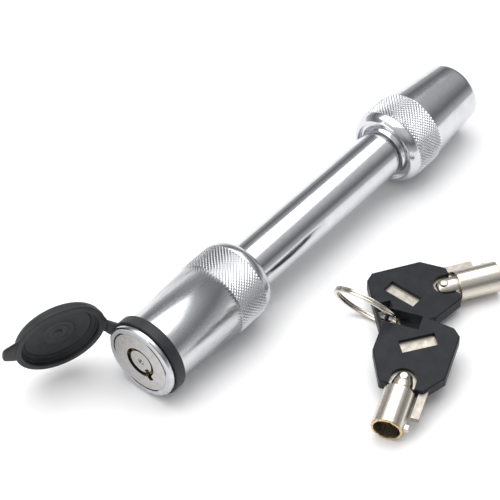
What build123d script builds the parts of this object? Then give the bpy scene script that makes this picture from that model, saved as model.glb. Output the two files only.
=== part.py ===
from build123d import *
import os
from math import cos, radians, sin

os.makedirs("parts", exist_ok=True)

# Hitch pin lock: a 5/8 in steel pin with one fixed head and one locking head,
# a rubber dust cap on a living hinge, and two tubular keys on a split ring.
# Millimetres. The pin lies along X, the lock's face looks along -X, +Z is up.
# The origin is on the pin's axis, halfway between the two heads.

# ---- overall sizes -------------------------------------------------------
pin_dia = 15.875  # the shaft a hitch's holes take
span = 69.0  # clear length of shaft between the heads
lock_head_len = 45.7
fixed_head_len = 37.8
knurl_dia = 25.6  # the heads lie on their knurled bands
running = 0.03  # radial clearance of parts that turn or slide
seated = 0.02  # radial clearance of parts that are pressed or screwed in
air = 0.1  # gap between rubber and its neighbours
cut = 1.0  # how far a cutting shape overshoots
weld = 0.5  # how far joined shapes of one piece overlap

# ---- lock head, lengths measured back from its face ----------------------
bezel_dia = 24.0
bezel_len = 1.75
bezel_round = 0.55
neck_dia = 21.5
neck_end = 5.45  # where the tapered body starts
taper_front_dia = 22.1
taper_back_dia = 25.05
knurl_front = 30.8
knurl_len = 10.8
back_face_dia = 21.6
knurl_step = 0.25  # from the knurled band down to the plain shoulder
shoulder_back = 2.6  # the shoulder's fullest place, behind the knurl
shoulder_drop = 0.85
head_bore_dia = 19.6
head_bore_len = 33.0
seal_from_back = 3.6  # centre of the seal's groove, from the back face
seal_wire = 1.4

# ---- tubular lock --------------------------------------------------------
case_len = 20.5
lip_len = 1.05
keyway_dia = 10.06
post_dia = 7.8
post_sunk = 0.35  # the post's end behind the face
post_notch = 1.1  # depth of the nib's notch in the post
dimple_dia = 2.2
dimple_depth = 0.5
case_bore_dia = 13.8
shear_line = 10.0  # where the turning plug meets the fixed bushing
shear_gap = 0.04
keyway_floor = 6.0
nib_slot_width = 1.9
nib_slot_r = 6.4
nib_slot_angle = -132.0
pin_count = 7
pin_circle_dia = 8.94
lock_pin_dia = 1.8
key_pin_front = 2.5  # front end of the longest key pin
key_pin_steps = (0, 2, 1, 3, 0, 1, 2)  # how much shorter each one is
key_pin_step = 0.35
driver_len = 4.2
pin_play = 0.05  # lengthwise freedom of a driver and its spring
spring_len = 3.3
spring_wire = 0.3
spring_turns = 6
bushing_len = 8.6
bushing_pin_dia = 1.6
bushing_pin_at = 13.2
bushing_pin_wall = 0.4  # between it and the driver holes
sunk = 0.1  # pins and screws end below the surface
spindle_dia = 4.8
square = 3.4
set_screw_dia = 3.0
set_screw_len = 2.2

# ---- ball latch ----------------------------------------------------------
cam_front = 21.0
cam_web = 2.2
cam_screw_head_dia = 4.6
cam_screw_head = 1.2
cam_screw_dia = 2.0
cam_screw_len = 5.0
cam_screw_slot = 0.6
ball_dia = 3.2
ball_count = 3
ball_station = 28.2
ball_lift = 1.2  # how far a ball moves out of the groove
ball_gap = 0.05
cage_bore_wall = 1.85
cage_flange = 1.8

# ---- shaft ---------------------------------------------------------------
tail_dia = 15.4  # the end that enters the locking head
nose_dia = 11.0
nose_front = 25.2
nose_chamfer = 0.8
fillet_dia = 17.8  # where the shaft runs out into the fixed head
spigot_dia = 13.0
spigot_len = 30.0

# ---- fixed head, lengths measured from its bearing face ------------------
rim_dia = 22.0
recess_depth = 1.2
recess_dia = 20.0
shoulder_len = 3.3
shoulder_edge = 0.15
shoulder_swell = (1.5, 0.55)  # along the axis, below the knurl
fixed_knurl_len = 10.8
fixed_taper_dia = 24.6
fixed_end_dia = 20.2
end_round = 1.6
head_pin_dia = 3.0
head_pin_at = 26.0
head_pin_tip = 4.0
head_pin_sunk = 0.3

# ---- rubber dust cap -----------------------------------------------------
ring_dia = 25.4
cap_dia = 28.0
cap_bore_gap = 0.06
cap_depth = 2.6
cap_floor = 1.2
boss_dia = 2.4
boss_len = 0.4
cap_back_round = (1.6, 1.2)  # the cap's rounded back edge, inwards and lengthwise
cap_lip = (1.1, 0.35)  # length of the lip and its height over the wall
ring_chamfer = 0.4
lug_root = 0.5
strap_root = (1.2, 0.55)  # where the strap leaves the cap, from rim and bore
tab_chamfer = 0.8
tab_overlap = 0.6
hinge_r = 14.6  # distance of the hinge line from the pin's axis
hinge_back = 2.6  # its distance behind the lock's face
hinge_tilt = 10.5  # the hinge is this far above level, on the +Y side
knuckle_dia = 1.8
strap_width = 6.4
strap_thick = 1.2
cap_open = 113.0  # opened this far, as it lies
tab_len = 4.4
tab_root = 9.0
tab_tip = 4.4
tab_thick = 1.5

# ---- keys, lengths measured back from the tube's mouth -------------------
tube_dia = 9.5
tube_bore = 7.96
tube_len = 13.4
tube_floor = 1.0
key_neck_dia = 6.6
key_neck_end = 19.6
nib_front = 1.2
nib_len = 1.8
nib_width = 1.7
nib_out = 1.25
nib_in = 0.7
grip_thick = 4.2
blade_thick = 1.6
grip_front = 14.2
grip_end = 40.1
grip_half = 11.5
grip_skew = 1.4  # the far end leans by this much each side
grip_front_half = 6.6  # half width at the tube end
grip_chamfers = ((6.6, 10.0), (2.4, 1.8))  # tube end and far end, low and high side
grip_round = 0.9
grip_edge = 0.5
blade_inset = 0.9
notch_depth = 6.4
notch_half = 3.9
wing_front = 5.6
wing_in = 5.4
wing_width = 2.4
window_at = (30.4, -0.6)
window_size = (11.0, 4.4)
window_angle = -57.0
hanger_at = (37.4, 5.8)
hanger_size = (5.0, 10.2)
rivet_dia = 2.6
rivet_at = 17.4
rivet_proud = 0.2
tongue_front = 14.8
tongue_half = 3.0
blade_root = 6.0  # how far wing and saw cut run behind the grip's front

front_key_mouth = (-49.33, -65.32)
front_key_heading = 20.65
front_key_tilt = 6.0
rear_key_mouth = (19.49, -55.39)
rear_key_heading = 147.16
rear_key_tilt = -1.2

# ---- split ring ----------------------------------------------------------
split_ring_r = 9.9
split_ring_thick = 1.15
split_ring_width = 1.65
split_ring_seam = 0.12
split_ring_at = (-19.39, -34.81, -2.95)
split_ring_axis = (0.8897, 0.1144, 0.4419)

# ---- derived places ------------------------------------------------------
back_face = -span / 2
face = back_face - lock_head_len
bearing = span / 2
floor_z = -knurl_dia / 2
case_dia = head_bore_dia - 2 * seated
plug_dia = case_bore_dia - 2 * running
nose_r = nose_dia / 2
ball_r = ball_dia / 2
ball_out = nose_r + ball_r + ball_gap
ball_in = ball_out - ball_lift
cage_bore = nose_dia + 2 * running
cage_dia = cage_bore + 2 * cage_bore_wall
cam_dia = head_bore_dia - 4 * running
pin_hole_dia = lock_pin_dia + 2 * running
bushing_front = shear_line + shear_gap
cam_screw_end = cam_front + cam_web + cam_screw_head
hinge_x = face + hinge_back
pin_angles = [nib_slot_angle + 360 / pin_count * (n + 0.5) for n in range(pin_count)]


def lathe(points):
    """Solid turned about the pin's axis from (x, radius) corners."""
    return revolve(make_face(Polyline(*points, close=True)), Axis.X)


def rod(x0, x1, dia, y=0.0, z=0.0):
    """Round bar along X from x0 to x1."""
    return Pos(x0, y, z) * Rot(0, 90, 0) * Cylinder(
        dia / 2, x1 - x0, align=(Align.CENTER, Align.CENTER, Align.MIN)
    )


def block(x, y, z):
    """Box from three (low, high) pairs."""
    size = [high - low for low, high in (x, y, z)]
    middle = [(high + low) / 2 for low, high in (x, y, z)]
    return Pos(*middle) * Box(*size)


def around(shape, angle):
    """The shape turned about the pin's axis; 0 is +Y and 90 is +Z."""
    return Rot(angle, 0, 0) * shape


def save(name, shape):
    """Writes one node; the solids of a group stay separate."""
    solids = shape.solids()
    export_step(solids[0] if len(solids) == 1 else Compound(solids), f"parts/{name}.step")
    return shape


def pin_ring(x0, x1, dia):
    """One bar for each lock pin, round the pin circle."""
    one = rod(x0, x1, dia, y=pin_circle_dia / 2)
    return [around(one, angle) for angle in pin_angles]


# ---- shaft and fixed head ------------------------------------------------
def make_shaft():
    x_nose = face + nose_front
    x_shoulder = face + head_bore_len + seated
    x_root = bearing + recess_depth
    body = lathe([
        (x_nose, 0), (x_nose, nose_r - nose_chamfer), (x_nose + nose_chamfer, nose_r),
        (x_shoulder, nose_r), (x_shoulder, tail_dia / 2), (back_face, tail_dia / 2),
        (back_face, pin_dia / 2), (bearing, pin_dia / 2), (x_root, fillet_dia / 2),
        (x_root, spigot_dia / 2), (x_root + spigot_len, spigot_dia / 2),
        (x_root + spigot_len, 0),
    ])
    groove = Pos(face + ball_station, 0, 0) * Rot(0, 90, 0) * Torus(ball_in, ball_r + ball_gap)
    pin_hole = Pos(bearing + head_pin_at, 0, head_pin_tip) * Cylinder(
        head_pin_dia / 2 + seated, knurl_dia, align=(Align.CENTER, Align.CENTER, Align.MAX)
    )
    return body - groove - pin_hole


def make_fixed_head():
    x_root = bearing + recess_depth
    x_knurl = bearing + shoulder_len
    x_knurl_end = x_knurl + fixed_knurl_len
    x_end = bearing + fixed_head_len
    bore_r = spigot_dia / 2 + seated
    bore_end = x_root + spigot_len + seated
    shoulder = ThreePointArc(
        (bearing, rim_dia / 2),
        (bearing + shoulder_swell[0], knurl_dia / 2 - shoulder_swell[1]),
        (x_knurl, knurl_dia / 2 - shoulder_edge),
    )
    outline = Polyline(
        (x_knurl, knurl_dia / 2 - shoulder_edge), (x_knurl, knurl_dia / 2),
        (x_knurl_end, knurl_dia / 2),
        (x_knurl_end, fixed_taper_dia / 2), (x_end, fixed_end_dia / 2), (x_end, 0),
        (bore_end, 0), (bore_end, bore_r), (x_root + seated, bore_r),
        (x_root + seated, recess_dia / 2), (bearing, recess_dia / 2), (bearing, rim_dia / 2),
    )
    body = revolve(make_face(shoulder + outline), Axis.X)
    rim = body.edges().filter_by(GeomType.CIRCLE).sort_by(Axis.X)[-1]
    body = fillet(rim, end_round)
    pin_hole = Pos(bearing + head_pin_at, 0, 0) * Cylinder(
        head_pin_dia / 2 + seated, knurl_dia, align=(Align.CENTER, Align.CENTER, Align.MAX)
    )
    return body - pin_hole


def fixed_head_radius(x):
    """Radius of the fixed head's taper at x."""
    start = bearing + shoulder_len + fixed_knurl_len
    share = (x - start) / (bearing + fixed_head_len - start)
    return fixed_taper_dia / 2 + share * (fixed_end_dia - fixed_taper_dia) / 2


def make_head_pin():
    x = bearing + head_pin_at
    low = head_pin_sunk - fixed_head_radius(x)
    return Pos(x, 0, low) * Cylinder(
        head_pin_dia / 2, head_pin_tip - seated - low, align=(Align.CENTER, Align.CENTER, Align.MIN)
    )


save("pin_shaft", make_shaft())
save("fixed_head", make_fixed_head())
save("fixed_head_pin", make_head_pin())


# ---- locking head body ---------------------------------------------------
def set_screw_bar(extra):
    """Radial bar under the rubber ring, where the set screw holds the case."""
    middle = (bezel_len + neck_end) / 2
    inner = neck_dia / 2 - set_screw_len
    return Pos(face + middle, 0, inner - extra) * Cylinder(
        set_screw_dia / 2 + extra,
        set_screw_len - sunk + 2 * extra,
        align=(Align.CENTER, Align.CENTER, Align.MIN),
    )


def set_screw_hole():
    """The same place cut right out through the neck's wall."""
    return set_screw_bar(seated) + Pos(0, 0, cut) * set_screw_bar(seated)


def seal_torus(extra):
    """Seal ring at the head's mouth, or the groove it sits in."""
    middle_r = tail_dia / 2 + running + seal_wire / 2
    return Pos(back_face - seal_from_back, 0, 0) * Rot(0, 90, 0) * Torus(
        middle_r, seal_wire / 2 + extra
    )


def make_lock_head_body():
    x_knurl = face + knurl_front
    x_knurl_end = x_knurl + knurl_len
    guide_r = tail_dia / 2 + running
    front = Polyline(
        (face, head_bore_dia / 2), (face, bezel_dia / 2 - bezel_round),
        (face + bezel_round, bezel_dia / 2), (face + bezel_len, bezel_dia / 2),
        (face + bezel_len, neck_dia / 2), (face + neck_end, neck_dia / 2),
        (face + neck_end, taper_front_dia / 2), (x_knurl, taper_back_dia / 2),
        (x_knurl, knurl_dia / 2), (x_knurl_end, knurl_dia / 2),
        (x_knurl_end, knurl_dia / 2 - knurl_step),
    )
    shoulder = ThreePointArc(
        (x_knurl_end, knurl_dia / 2 - knurl_step),
        (x_knurl_end + shoulder_back, knurl_dia / 2 - shoulder_drop),
        (back_face, back_face_dia / 2),
    )
    inside = Polyline(
        (back_face, back_face_dia / 2), (back_face, guide_r), (face + head_bore_len, guide_r),
        (face + head_bore_len, head_bore_dia / 2), (face, head_bore_dia / 2),
    )
    body = revolve(make_face(front + shoulder + inside), Axis.X)
    return body - seal_torus(seated) - set_screw_hole()


def make_lock_case():
    x_lip = face + lip_len
    x_end = face + case_len
    body = lathe([
        (face, keyway_dia / 2), (face, case_dia / 2), (x_end, case_dia / 2),
        (x_end, case_bore_dia / 2), (x_lip, case_bore_dia / 2), (x_lip, keyway_dia / 2),
    ])
    half = nib_slot_width / 2
    slot = block((face - cut, x_lip + cut), (0, nib_slot_r), (-half, half))
    return body - around(slot, nib_slot_angle) - bushing_pin_bar(seated) - set_screw_bar(seated)


def bushing_pin_bar(extra):
    """Radial bar through the case into the bushing."""
    inner = pin_circle_dia / 2 + pin_hole_dia / 2 + bushing_pin_wall
    return Pos(face + bushing_pin_at, 0, inner - extra) * Cylinder(
        bushing_pin_dia / 2 + extra,
        case_dia / 2 - sunk - inner + 2 * extra,
        align=(Align.CENTER, Align.CENTER, Align.MIN),
    )


def make_bushing():
    x0 = face + bushing_front
    body = rod(x0, x0 + bushing_len, case_bore_dia - 2 * seated)
    body -= rod(x0 - cut, x0 + bushing_len + cut, spindle_dia + 2 * running)
    for hole in pin_ring(x0 - cut, x0 + driver_len + spring_len + 2 * pin_play, pin_hole_dia):
        body -= hole
    return body - bushing_pin_bar(seated)


save("lock_head_body", make_lock_head_body())
save("lock_case", make_lock_case())
save("case_set_screw", set_screw_bar(0))
save("pin_bushing", make_bushing())
save("bushing_pin", bushing_pin_bar(0))
save("shaft_seal", seal_torus(0))


# ---- turning plug, its pins and springs ----------------------------------
def make_plug():
    x0 = face + lip_len + running
    x1 = face + shear_line
    x_floor = face + keyway_floor
    x_square = face + cam_front
    post_front = face + post_sunk
    body = rod(x0, x1, plug_dia)
    body -= rod(x0 - cut, x_floor, keyway_dia)
    body += rod(post_front, x_floor + weld, post_dia)
    for hole in pin_ring(x0, x1 + cut, pin_hole_dia):
        body -= hole
    half = nib_slot_width / 2
    notch = block((face, x_floor - cut), (post_dia / 2 - post_notch, nib_slot_r), (-half, half))
    body -= around(notch, nib_slot_angle)
    body += rod(x1 - weld, x_square, spindle_dia)
    side = (-square / 2, square / 2)
    body += block((x_square - weld, x_square + cam_web), side, side)
    body -= rod(face, post_front + dimple_depth, dimple_dia)
    x_end = face + cam_screw_end
    depth = cam_screw_head + cam_screw_len + sunk
    return body - rod(x_end - depth, x_end, cam_screw_dia + 2 * seated)


def make_key_pins():
    """Pins of different lengths that all end at the shear line."""
    x1 = face + shear_line - shear_gap / 2
    made = []
    for angle, short in zip(pin_angles, key_pin_steps):
        x0 = face + key_pin_front + short * key_pin_step
        made.append(around(rod(x0, x1, lock_pin_dia, y=pin_circle_dia / 2), angle))
    return Compound(made)


def make_springs():
    """One small coil behind each driver pin."""
    start = face + bushing_front + driver_len + pin_play
    coil_r = lock_pin_dia / 2 - spring_wire / 2 - pin_play
    height = spring_len - spring_wire - pin_play
    path = Helix(height / spring_turns, height, coil_r)
    section = Plane(path @ 0, z_dir=path % 0) * Circle(spring_wire / 2)
    coil = sweep(section, path=path, is_frenet=True)
    coil = Pos(start + spring_wire / 2, 0, 0) * Rot(0, 90, 0) * coil
    off = Pos(0, pin_circle_dia / 2, 0) * coil
    return Compound([around(off, angle) for angle in pin_angles])


driver_x = face + bushing_front + shear_gap / 2
save("lock_plug", make_plug())
save("key_pins", make_key_pins())
driver_end = driver_x + driver_len - pin_play
save("driver_pins", Compound(pin_ring(driver_x, driver_end, lock_pin_dia)))
save("driver_springs", make_springs())


# ---- ball latch ----------------------------------------------------------
def cam_radius(angle):
    """Inner wall of the cam round one ball, from 0 (ball out) to -90 (ball in)."""
    high = ball_out + ball_r + ball_gap
    if angle >= 0:
        return high
    if angle >= -90:
        return high + ball_lift * angle / 90
    return high - ball_lift


def make_cam():
    x0 = face + cam_front
    x1 = x0 + cam_web
    x2 = face + head_bore_len - cage_flange - running
    body = rod(x0, x2, cam_dia)
    points = []
    for ball in range(ball_count):
        for angle in range(15, -100, -5):
            turn = radians(angle - 360 / ball_count * ball)
            r = cam_radius(angle)
            points.append((0, r * cos(turn), r * sin(turn)))
    outline = make_face(Polyline(*points, close=True))
    hollow = extrude(outline, amount=x2 - x1 + cut, dir=(1, 0, 0))
    body -= Pos(x1, 0, 0) * hollow
    half = square / 2 + seated
    return body - block((x0 - cut, x1 + cut), (-half, half), (-half, half))


def make_cage():
    x0 = face + nose_front
    x1 = face + head_bore_len
    body = lathe([
        (x0, cage_bore / 2), (x0, cage_dia / 2), (x1 - cage_flange, cage_dia / 2),
        (x1 - cage_flange, head_bore_dia / 2 - seated), (x1, head_bore_dia / 2 - seated),
        (x1, cage_bore / 2),
    ])
    hole = Rot(-90, 0, 0) * Cylinder(
        ball_r + running, cage_dia, align=(Align.CENTER, Align.CENTER, Align.MIN)
    )
    for n in range(ball_count):
        body -= around(Pos(face + ball_station, 0, 0) * hole, 360 / ball_count * n)
    return body


def make_cam_screw():
    x0 = face + cam_front + cam_web
    head = rod(x0, x0 + cam_screw_head, cam_screw_head_dia)
    half = cam_screw_slot / 2
    whole = (-cam_screw_head_dia, cam_screw_head_dia)
    slot = block((x0 + cam_screw_head / 2, x0 + cam_screw_head + cut), (-half, half), whole)
    return head - slot + rod(x0 - cam_screw_len, x0 + sunk, cam_screw_dia)


save("cam_cup", make_cam())
save("cam_screw", make_cam_screw())
save("ball_cage", make_cage())
for n in range(ball_count):
    ball = Pos(face + ball_station, ball_out, 0) * Sphere(ball_r)
    save(f"locking_ball_{n + 1}", around(ball, 360 / ball_count * n))


# ---- rubber dust cap -----------------------------------------------------
def make_cap_ring():
    x0 = face + bezel_len + air
    x1 = face + neck_end - air
    outer = ring_dia / 2
    ring = lathe([
        (x0, neck_dia / 2 + seated), (x0, outer - ring_chamfer), (x0 + ring_chamfer, outer),
        (x1 - ring_chamfer, outer), (x1, outer - ring_chamfer), (x1, neck_dia / 2 + seated),
    ])
    half = strap_width / 2
    lug = block((hinge_x, hinge_x + knuckle_dia), (outer - lug_root, hinge_r), (-half, half))
    barrel = Pos(hinge_x, hinge_r, 0) * Cylinder(knuckle_dia / 2, strap_width)
    return around(ring + lug + barrel, hinge_tilt)


def make_cap_tab(rim_x, bore_r):
    """Pull tab on the side away from the hinge."""
    root = tab_overlap - cap_dia / 2
    tip = -cap_dia / 2 - tab_len
    half = tab_tip / 2
    outline = Polyline(
        (root, tab_root / 2), (tip + tab_chamfer, half), (tip, half - tab_chamfer),
        (tip, tab_chamfer - half), (tip + tab_chamfer, -half), (root, -tab_root / 2), close=True,
    )
    tab = extrude(make_face(outline), amount=tab_thick)
    tab = Pos(rim_x - tab_thick, 0, 0) * Rot(0, 90, 0) * Rot(0, 0, 90) * tab
    return tab - rod(rim_x - cap_depth, rim_x + cut, 2 * (bore_r + air))


def make_cap_strap(start):
    """Thin living hinge from the cap to the hinge line."""
    run = Edge.make_line((*start, 0), (hinge_x, hinge_r, 0))
    along = run % 0
    aside = Vector(-along.Y, along.X, 0) * (strap_thick / 2)
    corners = [run @ 0 + aside, run @ 1 + aside, run @ 1 - aside, run @ 0 - aside]
    strap = make_face(Polyline(*[(c.X, c.Y) for c in corners], close=True))
    strap = extrude(strap, amount=strap_width / 2, both=True)
    return strap - Pos(hinge_x, hinge_r, 0) * Cylinder(knuckle_dia / 2 + air, strap_width + cut)


def make_dust_cap():
    """Cup, strap and tab made shut over the bezel, then swung open about the hinge."""
    bore_r = bezel_dia / 2 + cap_bore_gap
    rim_x = face + bezel_len - pin_play
    floor_x = rim_x - cap_depth
    back_x = floor_x - cap_floor
    outer = cap_dia / 2
    wall = outer - cap_lip[1]
    cup = lathe([
        (back_x, 0), (back_x, outer - cap_back_round[0]), (back_x + cap_back_round[1], wall),
        (rim_x - cap_lip[0] - 2 * air, wall), (rim_x - cap_lip[0], outer), (rim_x, outer),
        (rim_x, bore_r), (floor_x, bore_r), (floor_x, boss_dia / 2),
        (floor_x + boss_len, boss_dia / 2), (floor_x + boss_len, 0),
    ])
    strap = make_cap_strap((rim_x - strap_root[0], bore_r + strap_root[1]))
    closed = around(cup + strap + make_cap_tab(rim_x, bore_r), hinge_tilt)
    tilt = radians(hinge_tilt)
    hinge = Axis((hinge_x, hinge_r * cos(tilt), hinge_r * sin(tilt)), (0, -sin(tilt), cos(tilt)))
    return closed.rotate(hinge, -cap_open)


save("cap_ring", make_cap_ring())
save("dust_cap", make_dust_cap())


# ---- keys ----------------------------------------------------------------
def grip_outline(inset):
    """The key's grip seen from above, tube end first, moved in by inset."""
    half = grip_half - inset
    x0 = grip_front + inset
    x1 = grip_end - inset
    near = grip_front_half - inset / 2
    (low_front, high_front), (low_end, high_end) = grip_chamfers
    points = [
        (x0, -near), (x0 + low_front, -half), (x1 - grip_skew - low_end, -half),
        (x1 - grip_skew, low_end - half), (x1 + grip_skew, half - high_end),
        (x1 + grip_skew - high_end, half), (x0 + high_front, half), (x0, near),
    ]
    return make_face(Polyline(*points, close=True))


def slab(outline, thick):
    """A flat plate of this thickness, centred on the key's middle plane."""
    return extrude(outline, amount=thick / 2, both=True)


def core_plate(extra):
    """The blade's flat part inside the grip, which ends at the hanger slot."""
    end = hanger_at[0] - hanger_size[0] / 2 + extra
    plate = slab(grip_outline(blade_inset - extra), blade_thick + 2 * extra)
    beyond = block((end, grip_end + 2 * grip_skew), (-grip_half, grip_half), (-grip_thick, grip_thick))
    return plate - beyond


def wing_bar(extra):
    """The blade's edge that runs out of the grip beside the tube."""
    half = blade_thick / 2 + extra
    sides = (-wing_in - wing_width - extra, extra - wing_in)
    return block((wing_front, grip_front + blade_root), sides, (-half, half))


def rivet_bar(extra):
    return Pos(rivet_at, 0, 0) * Cylinder(rivet_dia / 2 + extra, key_neck_dia + rivet_proud)


def make_key_tube():
    """Tube with its locating nib and a slotted, domed neck; its mouth is at the origin."""
    dome = key_neck_end - key_neck_dia / 2
    tube = rod(0, tube_len, tube_dia) + rod(tube_len - weld, dome, key_neck_dia)
    tube += Pos(dome, 0, 0) * Sphere(key_neck_dia / 2)
    tube -= rod(-cut, tube_len - tube_floor, tube_bore)
    nib_side = (-tube_dia / 2 - nib_out, nib_in - tube_bore / 2)
    tube += block((nib_front, nib_front + nib_len), nib_side, (-nib_width / 2, nib_width / 2))
    half = blade_thick / 2 + seated
    saw_front = tongue_front - seated
    whole = (-tube_dia, tube_dia)
    return tube - block((saw_front, key_neck_end + cut), whole, (-half, half)) - rivet_bar(seated)


def make_key_blade():
    """Metal core of the grip, with the wing outside it and the slots through it."""
    half = blade_thick / 2
    blade = core_plate(0) + wing_bar(0)
    tongue_end = grip_front + 2 * blade_inset
    blade += block((tongue_front, tongue_end), (-tongue_half, tongue_half), (-half, half))
    return blade - rivet_bar(seated)


def make_key_grip():
    """Moulded grip with a notch for the tube's neck, a window and a hanger slot."""
    notch_end = grip_front + notch_depth - notch_half
    sides = (-notch_half, notch_half)
    notch = block((grip_front - cut, notch_end), sides, (-grip_thick, grip_thick))
    notch += Pos(notch_end, 0, 0) * Cylinder(notch_half, 2 * grip_thick)
    hanger_slot = Pos(*hanger_at) * Box(*hanger_size, 2 * grip_thick)
    window = Pos(*window_at, grip_thick / 2) * Rot(0, 0, window_angle) * Box(
        *window_size, grip_thick - blade_thick
    )
    grip = slab(grip_outline(0), grip_thick)
    grip = fillet(grip.edges().filter_by(Axis.Z), grip_round)
    rims = grip.edges().group_by(Axis.Z)
    grip = fillet(rims[0] + rims[-1], grip_edge)
    return grip - notch - core_plate(seated) - wing_bar(seated) - window - hanger_slot


def place_key(mouth, heading, tilt):
    """Where a key lies: its tube on the floor, its grip raised by tilt."""
    lift = tube_dia / 2 * cos(radians(tilt)) - tube_len * min(0, sin(radians(tilt)))
    return Pos(*mouth, floor_z + lift) * Rot(0, 0, heading) * Rot(0, -tilt, 0)


key_parts = {
    "grip": make_key_grip(),
    "blade": make_key_blade(),
    "tube": make_key_tube(),
    "rivet": rivet_bar(0),
}
front_place = place_key(front_key_mouth, front_key_heading, front_key_tilt)
rear_place = place_key(rear_key_mouth, rear_key_heading, rear_key_tilt)
for which, place in (("front", front_place), ("rear", rear_place)):
    for part_name, shape in key_parts.items():
        save(f"{which}_key_{part_name}", place * shape)


def make_split_ring():
    """Two turns of flat wire side by side, with a fine seam between them."""
    r0 = split_ring_r - split_ring_thick / 2
    r1 = split_ring_r + split_ring_thick / 2
    w = split_ring_width / 2
    s = split_ring_seam
    section = Polyline(
        (r0, -w), (r1, -w), (r1, -s), (r1 - s, 0), (r1, s), (r1, w), (r0, w),
        (r0, s), (r0 + s, 0), (r0, -s), close=True,
    )
    flat = revolve(make_face(Plane.XZ * section), Axis.Z)
    return Plane(origin=split_ring_at, z_dir=split_ring_axis) * flat


save("split_ring", make_split_ring())
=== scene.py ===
from math import cos, pi, radians, sin

import bmesh
import bpy
import numpy as np
from mathutils import Matrix, Vector


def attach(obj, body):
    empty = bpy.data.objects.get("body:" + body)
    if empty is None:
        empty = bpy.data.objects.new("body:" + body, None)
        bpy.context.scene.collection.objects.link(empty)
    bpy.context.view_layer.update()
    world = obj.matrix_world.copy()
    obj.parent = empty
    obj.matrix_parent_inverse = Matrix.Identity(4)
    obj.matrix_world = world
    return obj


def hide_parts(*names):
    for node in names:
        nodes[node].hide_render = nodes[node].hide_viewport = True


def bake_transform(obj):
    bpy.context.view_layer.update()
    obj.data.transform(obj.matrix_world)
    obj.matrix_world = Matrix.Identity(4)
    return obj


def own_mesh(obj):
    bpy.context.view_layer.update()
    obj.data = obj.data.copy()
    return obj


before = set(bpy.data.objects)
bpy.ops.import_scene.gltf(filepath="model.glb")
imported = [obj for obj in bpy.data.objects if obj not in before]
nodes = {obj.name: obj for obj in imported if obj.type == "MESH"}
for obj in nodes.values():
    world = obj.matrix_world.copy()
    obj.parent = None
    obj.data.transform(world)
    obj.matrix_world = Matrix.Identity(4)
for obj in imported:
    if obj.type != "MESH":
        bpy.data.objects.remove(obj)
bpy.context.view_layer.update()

# ---- Shaft ------------------------------------------------------------------
# A 5/8 in bar of hard-chromed steel, turned in one piece: plain between the heads,
# a narrower tail and a grooved nose that go into the locking head, and a small
# fillet and spigot where the fixed head is pressed on.
span = 69.0
face = -span / 2 - 45.7
bearing = span / 2
back_face = -span / 2


def rounded(corners, steps=6):
    """Profile through (x, r, fillet) corners. Each filleted corner becomes an arc: the
    point at share t of the turn is the quadratic blend (1-t)^2 A + 2t(1-t) C + t^2 B
    between its two tangent points A and B. Runs get guard points next to their ends."""
    spots = np.array([corner[:2] for corner in corners], float)
    sizes = [corner[2] if len(corner) > 2 else 0.0 for corner in corners]
    pieces = []
    share = np.linspace(0, 1, steps + 1)[:, None]
    for n, size in enumerate(sizes):
        here, before, after = spots[n], spots[n - 1], spots[(n + 1) % len(spots)]
        to_before = (before - here) / max(np.hypot(*(before - here)), 1e-9)
        to_after = (after - here) / max(np.hypot(*(after - here)), 1e-9)
        if size:
            a, b = here + to_before * size, here + to_after * size
            arc = (1 - share) ** 2 * a + 2 * share * (1 - share) * here + share**2 * b
            guard = min(0.12, size)
            pieces += [[a + to_before * guard], arc, [b + to_after * guard]]
        else:
            pieces += [[here]]
    return np.concatenate(pieces)


def surface(name, points, wrap=(True, True), sharp=38.0):
    """Mesh of a (rows, columns, 3) grid of points in millimetres. A wrapped direction
    joins its last line to its first; points that coincide, as at a pole, are merged."""
    rows, cols = points.shape[:2]
    index = np.arange(rows * cols).reshape(rows, cols)
    if wrap[0]:
        index = np.vstack([index, index[:1]])
    if wrap[1]:
        index = np.hstack([index, index[:, :1]])
    quads = np.stack([index[:-1, :-1], index[:-1, 1:], index[1:, 1:], index[1:, :-1]], -1)
    mesh = bpy.data.meshes.new(name)
    mesh.from_pydata(points.reshape(-1, 3) * 0.001, [], quads.reshape(-1, 4))
    around = np.arange(index.shape[1]) / max(index.shape[1] - 1, 1)
    along = np.arange(index.shape[0]) / max(index.shape[0] - 1, 1)
    u = np.stack([around[:-1], around[1:], around[1:], around[:-1]], -1)
    v = np.stack([along[:-1], along[:-1], along[1:], along[1:]], -1)
    both = np.empty((len(v), len(u), 4, 2))
    both[..., 0] = u[None]
    both[..., 1] = v[:, None]
    mesh.uv_layers.new(name="unrolled").data.foreach_set("uv", both.ravel())
    work = bmesh.new()
    work.from_mesh(mesh)
    bmesh.ops.remove_doubles(work, verts=work.verts, dist=1e-6)
    bmesh.ops.recalc_face_normals(work, faces=work.faces)
    work.to_mesh(mesh)
    work.free()
    mesh.shade_smooth()
    mesh.set_sharp_from_angle(angle=radians(sharp))
    piece = bpy.data.objects.new(name, mesh)
    bpy.context.scene.collection.objects.link(piece)
    return piece


def turned(name, profile, columns=160, sharp=38.0, reach=None):
    """Solid of revolution about the pin's axis: (x, r cos a, r sin a) for the profile's
    (x, r) and the angle a. reach, if given, is a (profile, columns) array of radii."""
    angle = np.arange(columns) * 2 * pi / columns
    radius = np.repeat(profile[:, 1:2], columns, 1) if reach is None else reach
    x = np.repeat(profile[:, 0:1], columns, 1)
    return surface(name, np.stack([x, radius * np.cos(angle), radius * np.sin(angle)], -1), sharp=sharp)


def group(name, inputs, outputs):
    """An empty shader node group with named sockets."""
    tree = bpy.data.node_groups.new(name, "ShaderNodeTree")
    for label, kind, value in inputs:
        socket = tree.interface.new_socket(label, in_out="INPUT", socket_type=kind)
        if value is not None:
            socket.default_value = value
    for label, kind in outputs:
        tree.interface.new_socket(label, in_out="OUTPUT", socket_type=kind)
    return tree, tree.nodes.new("NodeGroupInput"), tree.nodes.new("NodeGroupOutput")


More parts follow.
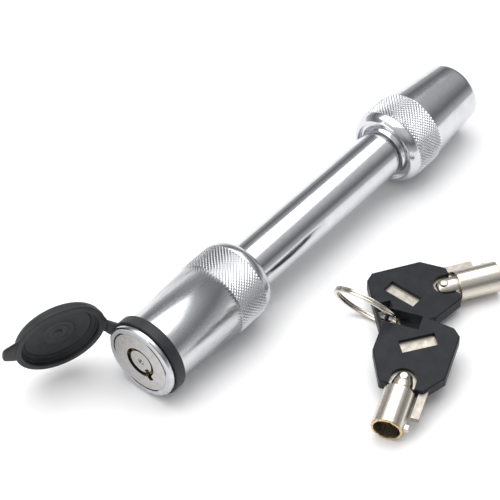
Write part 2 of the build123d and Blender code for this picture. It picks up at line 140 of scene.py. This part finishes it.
def link(tree, start, end):
    tree.links.new(start, end)


def node(tree, kind, **settings):
    """A node with its properties set, and its inputs set by name through in_NAME."""
    made = tree.nodes.new(kind)
    for key, value in settings.items():
        if key.startswith("in_"):
            made.inputs[key[3:].replace("_", " ")].default_value = value
        else:
            setattr(made, key, value)
    return made


def make_polish_group():
    """Plating that is a little cloudy: two sizes of noise move the roughness between
    Low and High and tint the colour between Clear and Cloudy; Height is for a bump."""
    tree, given, result = group(
        "plating_wear",
        [("Vector", "NodeSocketVector", None), ("Scale", "NodeSocketFloat", 300.0),
         ("Low", "NodeSocketFloat", 0.06), ("High", "NodeSocketFloat", 0.16),
         ("Clear", "NodeSocketColor", (0.9, 0.9, 0.9, 1)), ("Cloudy", "NodeSocketColor", (0.7, 0.7, 0.7, 1))],
        [("Roughness", "NodeSocketFloat"), ("Color", "NodeSocketColor"), ("Height", "NodeSocketFloat")])
    wide = node(tree, "ShaderNodeTexNoise", in_Detail=3.0, in_Roughness=0.55)
    fine = node(tree, "ShaderNodeTexNoise", in_Detail=2.0)
    times = node(tree, "ShaderNodeMath", operation="MULTIPLY")
    times.inputs[1].default_value = 6.0
    link(tree, given.outputs["Vector"], wide.inputs["Vector"])
    link(tree, given.outputs["Vector"], fine.inputs["Vector"])
    link(tree, given.outputs["Scale"], wide.inputs["Scale"])
    link(tree, given.outputs["Scale"], times.inputs[0])
    link(tree, times.outputs[0], fine.inputs["Scale"])
    blend = node(tree, "ShaderNodeMath", operation="MULTIPLY_ADD")
    blend.inputs[1].default_value = 0.35
    link(tree, fine.outputs[0], blend.inputs[0])
    link(tree, wide.outputs[0], blend.inputs[2])
    spread = node(tree, "ShaderNodeMapRange", in_From_Min=0.45, in_From_Max=0.95)
    link(tree, blend.outputs[0], spread.inputs["Value"])
    link(tree, given.outputs["Low"], spread.inputs["To Min"])
    link(tree, given.outputs["High"], spread.inputs["To Max"])
    tint = node(tree, "ShaderNodeMix", data_type="RGBA")
    mask = node(tree, "ShaderNodeMapRange", in_From_Min=0.45, in_From_Max=0.95)
    link(tree, blend.outputs[0], mask.inputs["Value"])
    link(tree, mask.outputs[0], tint.inputs[0])
    link(tree, given.outputs["Clear"], tint.inputs[6])
    link(tree, given.outputs["Cloudy"], tint.inputs[7])
    link(tree, spread.outputs[0], result.inputs["Roughness"])
    link(tree, tint.outputs[2], result.inputs["Color"])
    link(tree, fine.outputs[0], result.inputs["Height"])
    return tree


plating_wear = make_polish_group()


def plain_material(name, metallic=0.0):
    """A Principled material and its tree, ready for its texture nodes."""
    material = bpy.data.materials.new(name)
    material.use_nodes = True
    shader = material.node_tree.nodes["Principled BSDF"]
    shader.inputs["Metallic"].default_value = metallic
    return material, material.node_tree, shader


def plated(name, clear, cloudy, low, high, scale=300.0, bump=0.02, stretch=(1, 1, 1), source="Object"):
    """Plated or bare metal: the wear group on Object or UV coordinates, stretched."""
    material, tree, shader = plain_material(name, 1.0)
    place = node(tree, "ShaderNodeTexCoord")
    mapping = node(tree, "ShaderNodeMapping", in_Scale=stretch)
    wear = node(tree, "ShaderNodeGroup", node_tree=plating_wear)
    wear.inputs["Scale"].default_value = scale
    wear.inputs["Low"].default_value = low
    wear.inputs["High"].default_value = high
    wear.inputs["Clear"].default_value = (*clear, 1)
    wear.inputs["Cloudy"].default_value = (*cloudy, 1)
    raised = node(tree, "ShaderNodeBump", in_Strength=bump, in_Distance=0.0002)
    link(tree, place.outputs[source], mapping.inputs["Vector"])
    link(tree, mapping.outputs[0], wear.inputs["Vector"])
    link(tree, wear.outputs["Roughness"], shader.inputs["Roughness"])
    link(tree, wear.outputs["Color"], shader.inputs["Base Color"])
    link(tree, wear.outputs["Height"], raised.inputs["Height"])
    link(tree, raised.outputs[0], shader.inputs["Normal"])
    return material


def settle(piece, material, body, slot, *hidden):
    """Gives a finished piece its material and body and hides the CAD nodes it stands for; slot is not used.
    """
    piece.data.materials.append(material)
    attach(piece, body)
    if hidden:
        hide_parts(*hidden)
    return piece


def finish_node(name, material):
    """A CAD node keeps its mesh and takes a better material."""
    mesh = nodes[name].data
    mesh.materials.clear()
    mesh.materials.append(material)


chrome = plated("hard_chrome", (0.66, 0.67, 0.69), (0.58, 0.59, 0.61), 0.10, 0.20, 220.0, 0.015)
head_chrome = plated(
    "linished_chrome", (0.62, 0.63, 0.65), (0.52, 0.53, 0.55), 0.17, 0.32, 260.0, 0.06, stretch=(0.25, 1, 1))
nose_x = face + 25.2
shaft_profile = rounded([
    (nose_x, 0), (nose_x, 5.5, 0.6), (face + 26.4, 5.5), (face + 26.7, 4.75), (face + 27.4, 4.15, 0.3),
    (face + 29.0, 4.15, 0.3), (face + 29.7, 4.75), (face + 30.0, 5.5), (face + 33.02, 5.5),
    (face + 33.02, 7.7, 0.3), (back_face, 7.7), (back_face, 7.9375, 0.1), (bearing - 0.3, 7.9375, 0.3),
    (bearing + 1.2, 8.9), (bearing + 1.2, 6.5), (bearing + 31.2, 6.5), (bearing + 31.2, 0)])
shaft = turned("shaft", shaft_profile, 192)
settle(shaft, chrome, "hitch_pin", "chrome", "pin_shaft")

# ---- Fixed head -------------------------------------------------------------
# A turned and chromed steel head pressed on the shaft's spigot and cross-pinned from
# below. Its bearing face is recessed round the shaft, its shoulder is polished, and
# a band of diamond knurl is rolled in ahead of the tapered end.
knurl_r = 12.8
teeth = 66


def knurled(profile, start, stop, lean=0.0, depth=0.42, pitch=1.22, columns=teeth * 8):
    """Radii of a head whose band from start to stop is cut by two families of helical
    grooves. With s and t the distances across the two families in groove spacings, the
    depth left is the lesser of the two triangle waves of s and t, clipped flat on top;
    lean makes the second family shallower."""
    angle = np.arange(columns) / 8.0
    x = (profile[:, 0] - start) / pitch
    s = np.abs(2 * ((angle[None] + x[:, None]) % 1.0) - 1)
    t = np.abs(2 * ((angle[None] - x[:, None]) % 1.0) - 1)
    ridge = np.minimum(1 - s, lean + (1 - lean) * (1 - t))
    ridge = np.minimum(ridge, 0.72) / 0.72
    inside = (profile[:, 0] > start - 1e-6) & (profile[:, 0] < stop + 1e-6) & (profile[:, 1] > knurl_r - 0.01)
    radius = np.repeat(profile[:, 1:2], columns, 1)
    return np.where(inside[:, None], radius - depth * (1 - ridge), radius)


def band(start, stop, pitch=1.22):
    """Profile points across a knurled band, eight to each pitch."""
    count = round((stop - start) / pitch * 8)
    return np.stack([np.linspace(start, stop, count + 1), np.full(count + 1, knurl_r)], -1)


head_x = bearing + 3.3
head_end = head_x + 10.8
front_part = rounded([
    (bearing + 31.22, 6.52), (bearing + 1.22, 6.52), (bearing + 1.22, 10.0, 0.25),
    (bearing, 10.0, 0.25), (bearing, 11.0, 0.3), (bearing + 1.5, 12.25, 0.8),
    (head_x - 0.3, 12.65, 0.3), (head_x, 12.55)])
rear_part = rounded([
    (head_end, 12.3), (head_end + 0.25, 12.3, 0.1), (bearing + 37.8, 10.1, 1.6), (bearing + 37.8, 0.01),
    (bearing + 31.22, 0.01)])
fixed_profile = np.concatenate([
    front_part[1:], band(head_x + 0.12, head_end - 0.12), rear_part, front_part[:1]])
fixed_reach = knurled(fixed_profile, head_x + 0.12, head_end - 0.12)
fixed_head = turned("fixed_head_shell", fixed_profile, teeth * 8, sharp=50.0, reach=fixed_reach)
settle(fixed_head, chrome, "hitch_pin", "chrome", "fixed_head")
steel = plated("turned_steel", (0.66, 0.66, 0.67), (0.52, 0.52, 0.53), 0.18, 0.36, 420.0, 0.08)
finish_node("fixed_head_pin", steel)

# ---- Locking head -----------------------------------------------------------
# The matching head, bored out for the lock and the shaft's end. A rounded bezel stands
# round the lock's face, with a near-black ring at the bottom of its seam as painted shade,
# the rubber ring sits in the neck behind, and the taper runs back to a second band of
# knurl and a rounded shoulder.
near_start = face + 30.8
near_stop = face + 41.6
bezel_bore = 10.12
lock_front = rounded([
    (back_face, 7.73, 0.3), (face + 33.0, 7.73), (face + 33.0, 9.8), (face + 0.9, 9.8),
    (face + 0.9, bezel_bore), (face + 0.2, bezel_bore), (face, bezel_bore), (face, 12.0, 0.75),
    (face + 1.75, 12.0, 0.6), (face + 1.75, 10.75), (face + 5.45, 10.75), (face + 5.45, 11.05, 0.2),
    (near_start - 0.3, 12.5), (near_start, 12.2)])
lock_back = rounded([
    (near_stop, 12.35), (near_stop + 0.4, 12.5, 0.3), (near_stop + 2.3, 12.25, 1.2), (back_face, 10.8, 0.9),
    (back_face, 9.4)])
lock_profile = np.concatenate([
    lock_front[1:], band(near_start + 0.12, near_stop - 0.12), lock_back, lock_front[:1]])
lock_reach = knurled(lock_profile, near_start + 0.12, near_stop - 0.12, lean=0.4)
seam_turn = np.arange(teeth * 8) * 360.0 / (teeth * 8)
seam_open = np.clip(1.6 * np.cos(np.radians(3 * (seam_turn - 20))) + 0.6, 0, 1)
seam_rows = (np.abs(lock_profile[:, 1] - bezel_bore) < 0.01) & (lock_profile[:, 0] < face + 0.3)
lock_reach[seam_rows] = 9.72 + 0.55 * seam_open
lock_shell = turned("lock_head_shell", lock_profile, teeth * 8, sharp=50.0, reach=lock_reach)
settle(lock_shell, head_chrome, "lock_head", "chrome", "lock_head_body")
# A near-black ring at the bottom of the bezel's seam: painted shade that darkens the gap.
seam_shade = plated("painted_seam_shade", (0.05, 0.045, 0.04), (0.02, 0.02, 0.02), 0.5, 0.8, 500.0, 0.05)
seam_profile = np.array([
    (face + 0.85, 9.6), (face + 0.16, 9.6), (face + 0.16, 10.4), (face + 0.85, 10.4)])
settle(turned("lock_head_seam", seam_profile), seam_shade, "lock_head", "chrome", "lock_head_body")

# ---- Tubular lock -----------------------------------------------------------
# A steel case pressed into the head, with a turned face, an annular keyway round a
# centre post, and seven brass key pins that stand in the keyway. The works behind it
# are turned steel and brass.
satin = plated("satin_chrome", (0.62, 0.61, 0.59), (0.50, 0.49, 0.47), 0.16, 0.30, 500.0, 0.05)
brass = plated("drawn_brass", (0.80, 0.58, 0.26), (0.60, 0.40, 0.16), 0.18, 0.34, 600.0, 0.05)
finish_node("lock_case", satin)
finish_node("lock_plug", satin)
for name in ("key_pins", "driver_pins", "pin_bushing"):
    finish_node(name, brass)
for name in ("cam_cup", "cam_screw", "ball_cage", "bushing_pin", "case_set_screw", "driver_springs"):
    finish_node(name, steel)
for number in (1, 2, 3):
    finish_node(f"locking_ball_{number}", steel)
springs = nodes["driver_springs"]
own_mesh(springs)

# ---- Rubber ring, strap and dust cap ----------------------------------------
# One black rubber moulding: a ring stretched over the head's neck, a thin strap that
# folds as a hinge, and a shallow cup with a rolled lip, a small boss and faint
# rings inside, and a ribbed pull tab opposite the strap.
hinge_x, hinge_r, hinge_tilt, cap_open = face + 2.6, 14.6, radians(10.5), radians(113.0)


def make_rubber():
    """Matte black rubber: a broad cloud of dust-grey on black and a fine pebbled bump."""
    material, tree, shader = plain_material("moulded_rubber")
    place = node(tree, "ShaderNodeTexCoord")
    cloud = node(tree, "ShaderNodeTexNoise", in_Scale=180.0, in_Detail=4.0)
    grain = node(tree, "ShaderNodeTexNoise", in_Scale=2600.0, in_Detail=2.0)
    tint = node(tree, "ShaderNodeValToRGB")
    tint.color_ramp.elements[0].position = 0.35
    tint.color_ramp.elements[0].color = (0.020, 0.021, 0.023, 1)
    tint.color_ramp.elements[1].position = 0.75
    tint.color_ramp.elements[1].color = (0.042, 0.043, 0.046, 1)
    rough = node(tree, "ShaderNodeMapRange", in_To_Min=0.42, in_To_Max=0.62)
    raised = node(tree, "ShaderNodeBump", in_Strength=0.18, in_Distance=0.0001)
    shader.inputs["Specular IOR Level"].default_value = 0.3
    link(tree, place.outputs["Object"], cloud.inputs["Vector"])
    link(tree, place.outputs["Object"], grain.inputs["Vector"])
    link(tree, cloud.outputs[0], tint.inputs[0])
    link(tree, tint.outputs[0], shader.inputs["Base Color"])
    link(tree, cloud.outputs[0], rough.inputs["Value"])
    link(tree, rough.outputs[0], shader.inputs["Roughness"])
    link(tree, grain.outputs[0], raised.inputs["Height"])
    link(tree, raised.outputs[0], shader.inputs["Normal"])
    return material


rubber = make_rubber()
ring_profile = rounded([
    (face + 1.85, 10.78), (face + 1.85, 12.7, 0.35), (face + 5.35, 12.7, 0.35), (face + 5.35, 10.78)])
cap_ring = turned("cap_ring_band", ring_profile, 128)
settle(cap_ring, rubber, "lock_head", "rubber", "cap_ring")

swing = (
    Matrix.Rotation(hinge_tilt, 4, "X")
    @ Matrix.Translation((hinge_x, hinge_r, 0))
    @ Matrix.Rotation(-cap_open, 4, "Z")
    @ Matrix.Translation((-hinge_x, -hinge_r, 0)))


def moved(points, matrix):
    """Every point of a grid times a 4 x 4 matrix."""
    turn = np.array(matrix)
    return points @ turn[:3, :3].T + turn[:3, 3]


rim_x = face + 1.7
floor_x = rim_x - 2.6
cup_profile = rounded([
    (floor_x - 1.2, 0), (floor_x - 1.2, 12.6, 1.1), (floor_x + 0.3, 13.65, 0.6),
    (rim_x - 1.4, 13.65, 0.12), (rim_x - 1.1, 14.0, 0.2), (rim_x - 0.02, 14.0, 0.45),
    (rim_x - 0.02, 12.08, 0.4), (floor_x + 1.3, 12.08, 0.15), (floor_x + 1.0, 11.75, 0.2),
    (floor_x + 0.45, 11.6, 0.25), (floor_x, 11.1, 0.25), (floor_x, 10.4),
    (floor_x + 0.16, 10.1, 0.1), (floor_x, 9.8), (floor_x, 5.4), (floor_x + 0.16, 5.1, 0.1),
    (floor_x, 4.8), (floor_x, 3.5), (floor_x + 0.16, 3.2, 0.1), (floor_x, 2.9), (floor_x, 1.5, 0.2),
    (floor_x + 0.4, 1.2, 0.3), (floor_x + 0.4, 0.5, 0.2), (floor_x + 0.15, 0.0)])
angle = np.arange(128) * 2 * pi / 128
cup_grid = np.stack([
    np.repeat(cup_profile[:, :1], 128, 1),
    cup_profile[:, 1:] * np.cos(angle), cup_profile[:, 1:] * np.sin(angle)], -1)
cup = surface("cap_cup", moved(cup_grid, swing))
settle(cup, rubber, "cap", "rubber", "dust_cap")


def loft(name, middle, half_widths, half_thicks, across, up, columns=24, power=3.0):
    """Closed strip along a middle line. Round each station the section is the superellipse
    (w sgn(cos a)|cos a|^(2/p), h sgn(sin a)|sin a|^(2/p)) on the across and up directions;
    both ends shrink to a point to close."""
    turn = np.arange(columns) * 2 * pi / columns
    wide = np.sign(np.cos(turn)) * np.abs(np.cos(turn)) ** (2 / power)
    high = np.sign(np.sin(turn)) * np.abs(np.sin(turn)) ** (2 / power)
    points = (
        middle[:, None]
        + (half_widths[:, None] * wide)[..., None] * across[:, None]
        + (half_thicks[:, None] * high)[..., None] * up[:, None])
    start, end = (np.repeat(tip[:, None], columns, 1) for tip in (middle[:1], middle[-1:]))
    points = np.concatenate([start, points, end])
    return surface(name, points, wrap=(False, True), sharp=60.0)


tab_run = np.linspace(0, 1, 25)
tab_ribs = 0.16 * np.maximum(0, np.sin(tab_run * pi * 9)) * (tab_run > 0.2)
tab_middle = np.stack([np.full(25, rim_x - 0.8), -13.3 - 4.3 * tab_run, 0 * tab_run], -1)
tab_wide = 4.6 - 2.2 * tab_run**1.2
tab_wide[-3:] *= (0.92, 0.8, 0.55)
tab = loft(
    "cap_pull_tab", moved(tab_middle, swing), tab_wide, 0.55 + tab_ribs,
    moved(np.tile((0.0, 0, 1), (25, 1)), swing) - moved(np.zeros((25, 3)), swing),
    moved(np.tile((1.0, 0, 0), (25, 1)), swing) - moved(np.zeros((25, 3)), swing))
settle(tab, rubber, "cap", "rubber", "dust_cap")

fold = np.array(Matrix.Rotation(hinge_tilt, 4, "X") @ Matrix.Translation((hinge_x, hinge_r, 0)))
fold_at = fold[:3, 3]
cap_edge = moved(np.array([[rim_x - 0.9, 13.4, 0.0]]), swing)[0]
ring_edge = moved(np.array([[face + 3.5, 12.2, 0.0]]), Matrix.Rotation(hinge_tilt, 4, "X"))[0]
strap_share = np.linspace(0, 1, 33)[:, None]
strap_bend = fold_at * 2 - (cap_edge + ring_edge) / 2
strap_line = (
    (1 - strap_share) ** 2 * cap_edge + 2 * strap_share * (1 - strap_share) * strap_bend
    + strap_share**2 * ring_edge)
strap_dir = np.gradient(strap_line, axis=0)
strap_dir /= np.linalg.norm(strap_dir, axis=1)[:, None]
strap_across = np.tile(fold[:3, 2], (33, 1))
strap_up = np.cross(strap_dir, strap_across)
strap_wide = 3.2 - 0.35 * np.sin(pi * strap_share[:, 0])
strap_thick = 0.85 - 0.45 * np.exp(-((strap_share[:, 0] - 0.30) / 0.14) ** 2)
strap = loft("cap_strap", strap_line, strap_wide, strap_thick, strap_across, strap_up)
strap.data.materials.append(rubber)
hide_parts("cap_ring")
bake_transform(strap)
finish_node("shaft_seal", rubber)

# ---- Keys -------------------------------------------------------------------
# Two tubular keys: a nickel-plated tube with a brass-coloured notched mouth and a
# small nib, riveted by its neck to a flat nickel blade, with a black moulded plastic
# grip over the blade. The grip has a notch, a sunk window and a hanger slot.
floor_z = -12.8
tube_r = 4.75
tube_len = 13.4
key_places = {}
for which, mouth, heading, tilt in (
        ("front", (-49.33, -65.32), 20.65, 6.0), ("rear", (19.49, -55.39), 147.16, -1.2)):
    lift = tube_r * cos(radians(tilt)) - tube_len * min(0, sin(radians(tilt)))
    key_places[which] = (
        Matrix.Translation((*mouth, floor_z + lift))
        @ Matrix.Rotation(radians(heading), 4, "Z")
        @ Matrix.Rotation(radians(-tilt), 4, "Y"))


def make_grip_plastic():
    """Black plastic with a fine spark-eroded grain and a faint random cloud of paler tone."""
    material, tree, shader = plain_material("grip_plastic")
    place = node(tree, "ShaderNodeTexCoord")
    grain = node(tree, "ShaderNodeTexNoise", in_Scale=3200.0, in_Detail=3.0)
    cloud = node(tree, "ShaderNodeTexNoise", in_Scale=240.0, in_Detail=4.0)
    tint = node(tree, "ShaderNodeValToRGB")
    tint.color_ramp.elements[0].position = 0.35
    tint.color_ramp.elements[0].color = (0.012, 0.013, 0.016, 1)
    tint.color_ramp.elements[1].position = 0.8
    tint.color_ramp.elements[1].color = (0.026, 0.027, 0.031, 1)
    rough = node(tree, "ShaderNodeMapRange", in_To_Min=0.34, in_To_Max=0.52)
    shader.inputs["Specular IOR Level"].default_value = 0.16
    raised = node(tree, "ShaderNodeBump", in_Strength=0.25, in_Distance=0.00008)
    link(tree, place.outputs["Object"], grain.inputs["Vector"])
    link(tree, place.outputs["Object"], cloud.inputs["Vector"])
    link(tree, cloud.outputs[0], tint.inputs[0])
    link(tree, tint.outputs[0], shader.inputs["Base Color"])
    link(tree, cloud.outputs[0], rough.inputs["Value"])
    link(tree, rough.outputs[0], shader.inputs["Roughness"])
    link(tree, grain.outputs[0], raised.inputs["Height"])
    link(tree, raised.outputs[0], shader.inputs["Normal"])
    return material


grip_plastic = make_grip_plastic()
brushed = plated(
    "brushed_nickel", (0.70, 0.66, 0.59), (0.50, 0.46, 0.40), 0.20, 0.40, 26.0, 0.10,
    stretch=(1.0, 0.05, 1.0), source="UV")
blade_nickel = plated("blade_nickel", (0.46, 0.43, 0.38), (0.34, 0.31, 0.27), 0.40, 0.60, 500.0, 0.15)
mouth_brass = plated("worn_brass", (0.74, 0.55, 0.27), (0.60, 0.50, 0.36), 0.22, 0.40, 500.0, 0.10)


def key_part(name, grid, which, material, *hidden, sharp=38.0):
    """A grid made with the key's mouth at the origin and its length along X, put in place."""
    piece = surface(f"{which}_key_{name}", moved(grid, key_places[which]), sharp=sharp)
    return settle(piece, material, f"{which}_key", "nickel", *hidden)


def spun(profile, columns=168):
    """Grid of (x, r cos a, r sin a) round the key's own axis."""
    round_it = np.arange(columns) * 2 * pi / columns
    x = np.repeat(profile[:, :1], columns, 1)
    return np.stack([x, profile[:, 1:] * np.cos(round_it), profile[:, 1:] * np.sin(round_it)], -1)


def brick(low, high, edge=0.12, columns=48):
    """Box with rounded edges: superellipse sections from low to high along X, whose two
    ends are drawn in by edge and closed to a point."""
    low, high = np.array(low, float), np.array(high, float)
    middle, half = (low + high) / 2, (high - low) / 2
    turn = np.arange(columns) * 2 * pi / columns
    wide = np.sign(np.cos(turn)) * np.abs(np.cos(turn)) ** 0.25
    tall = np.sign(np.sin(turn)) * np.abs(np.sin(turn)) ** 0.25
    share = np.array([0, 1 - edge / min(half[1], half[2]), 1, 1, 1 - edge / min(half[1], half[2]), 0])
    x = np.array([low[0], low[0], low[0] + edge, high[0] - edge, high[0], high[0]])
    return np.stack([
        np.repeat(x[:, None], columns, 1), middle[1] + half[1] * share[:, None] * wide,
        middle[2] + half[2] * share[:, None] * tall], -1)


for which in key_places:
    finish_node(f"{which}_key_grip", grip_plastic)
    finish_node(f"{which}_key_blade", blade_nickel)
    tube_profile = rounded([
        (0.5, 3.98), (0.5, tube_r), (tube_len, tube_r, 0.5), (tube_len, 3.3), (16.3, 3.3, 1.2),
        (19.6, 2.2, 1.0), (19.6, 0), (12.4, 0), (12.4, 3.98, 0.2)])
    key_part("tube_body", spun(tube_profile), which, brushed, f"{which}_key_tube")
    rim = spun(rounded([
        (0.02, 4.0), (0.0, 4.1, 0.05), (0.0, 4.6, 0.15), (0.2, tube_r, 0.1), (0.5, tube_r), (0.5, 4.0)]))
    notches = 0.22 * np.clip(np.cos(np.arange(168) * 2 * pi / 24) * 4 - 3, 0, 1)
    rim[..., 0] += notches * (rim[..., 0] < 0.3)
    key_part("mouth_rim", rim, which, mouth_brass, f"{which}_key_tube")
    key_part("nib", brick((1.2, -6.0, -0.85), (3.0, -3.3, 0.85)), which, brushed, f"{which}_key_tube")
    rivet = rounded([(-3.4, 0), (-3.4, 1.3, 0.2), (3.3, 1.3, 0.35), (3.5, 0)])
    rivet_grid = spun(rivet, columns=48)
    upright = np.stack([17.4 + rivet_grid[..., 1], rivet_grid[..., 2], rivet_grid[..., 0]], -1)
    key_part("rivet_head", upright, which, brushed, f"{which}_key_rivet")

# ---- Split ring -------------------------------------------------------------
# Flat nickel-plated spring wire wound twice on itself, so its two turns lie side by
# side; one strand goes through the hanger slot of each key.
ring_at = np.array((-19.39, -34.81, -2.95))
ring_axis = np.array((0.8897, 0.1144, 0.4419))
ring_axis /= np.linalg.norm(ring_axis)
ring_side = np.cross(ring_axis, (0, 0, 1))
ring_side /= np.linalg.norm(ring_side)
ring_up = np.cross(ring_axis, ring_side)
wind = np.linspace(0, 4 * pi * 0.985, 361)
advance = 0.41 * np.tanh((wind - wind.mean()) * 2.2)
out = np.cos(wind)[:, None] * ring_side + np.sin(wind)[:, None] * ring_up
wire_line = ring_at + out * 9.9 + advance[:, None] * ring_axis
wire = loft(
    "split_ring_wire", wire_line, np.full(361, 0.56), np.full(361, 0.40), out, np.tile(ring_axis, (361, 1)),
    columns=16, power=4.0)
ring_nickel = plated("nickel_wire", (0.74, 0.69, 0.61), (0.55, 0.50, 0.43), 0.12, 0.28, 600.0, 0.05)
settle(wire, ring_nickel, "ring", "nickel", "split_ring")

# ---- Floor, light and camera ------------------------------------------------
# A plain pale table, a bright overcast surround with a darker band behind the
# camera for the plating to mirror, two soft boxes and a long lens.
floor = bpy.data.objects.new("floor", bpy.data.meshes.new("floor"))
table_z = -0.0129
table_corners = [(-4, -4, table_z), (4, -4, table_z), (4, 4, table_z), (-4, 4, table_z)]
floor.data.from_pydata(table_corners, [], [(0, 1, 2, 3)])
bpy.context.scene.collection.objects.link(floor)
table, table_shader = plain_material("table_paper")[::2]
table_shader.inputs["Base Color"].default_value = (0.97, 0.97, 0.97, 1)
table_shader.inputs["Roughness"].default_value = 0.9
floor.data.materials.append(table)

world = bpy.data.worlds.new("studio")
world.use_nodes = True
bpy.context.scene.world = world
sky = world.node_tree
direction = node(sky, "ShaderNodeTexCoord")
split = node(sky, "ShaderNodeSeparateXYZ")
ramp = node(sky, "ShaderNodeValToRGB")
ramp.color_ramp.elements[0].position = 0.0
ramp.color_ramp.elements[0].color = (0.70, 0.70, 0.71, 1)
ramp.color_ramp.elements[1].position = 1.0
ramp.color_ramp.elements[1].color = (0.95, 0.95, 0.96, 1)
for spot, tone in ((0.15, 0.55), (0.36, 0.20), (0.54, 0.38), (0.76, 0.80)):
    stop = ramp.color_ramp.elements.new(spot)
    stop.color = (tone, tone, tone * 1.02, 1)
link(sky, direction.outputs["Generated"], split.inputs[0])
link(sky, split.outputs["Z"], ramp.inputs[0])
link(sky, ramp.outputs[0], sky.nodes["Background"].inputs["Color"])
sky.nodes["Background"].inputs["Strength"].default_value = 0.85


def soft_box(name, at, towards, width, height, power):
    """An area light at a place, turned to face another."""
    lamp = bpy.data.lights.new(name, "AREA")
    lamp.shape = "RECTANGLE"
    lamp.size, lamp.size_y, lamp.energy = width, height, power
    holder = bpy.data.objects.new(name, lamp)
    bpy.context.scene.collection.objects.link(holder)
    holder.location = at
    holder.rotation_euler = (Vector(towards) - Vector(at)).to_track_quat("-Z", "Y").to_euler()


soft_box("overhead_box", (0.15, 0.35, 1.3), (0, 0, 0), 2.0, 1.4, 20.0)
soft_box("side_box", (-1.1, 0.5, 0.7), (-0.02, 0, 0), 1.0, 0.8, 5.0)

camera_data = bpy.data.cameras.new("camera")
camera_data.lens = 139.5
camera_data.sensor_width = 36.0
camera_data.clip_end = 20.0
camera = bpy.data.objects.new("camera", camera_data)
bpy.context.scene.collection.objects.link(camera)
camera.matrix_world = Matrix((
    (0.6411, 0.5531, -0.5322, -0.3371), (-0.7675, 0.4620, -0.4445, -0.2555),
    (0.0, 0.6934, 0.7206, 0.4215), (0, 0, 0, 1)))
bpy.context.scene.camera = camera
bpy.context.scene.view_settings.view_transform = "Standard"
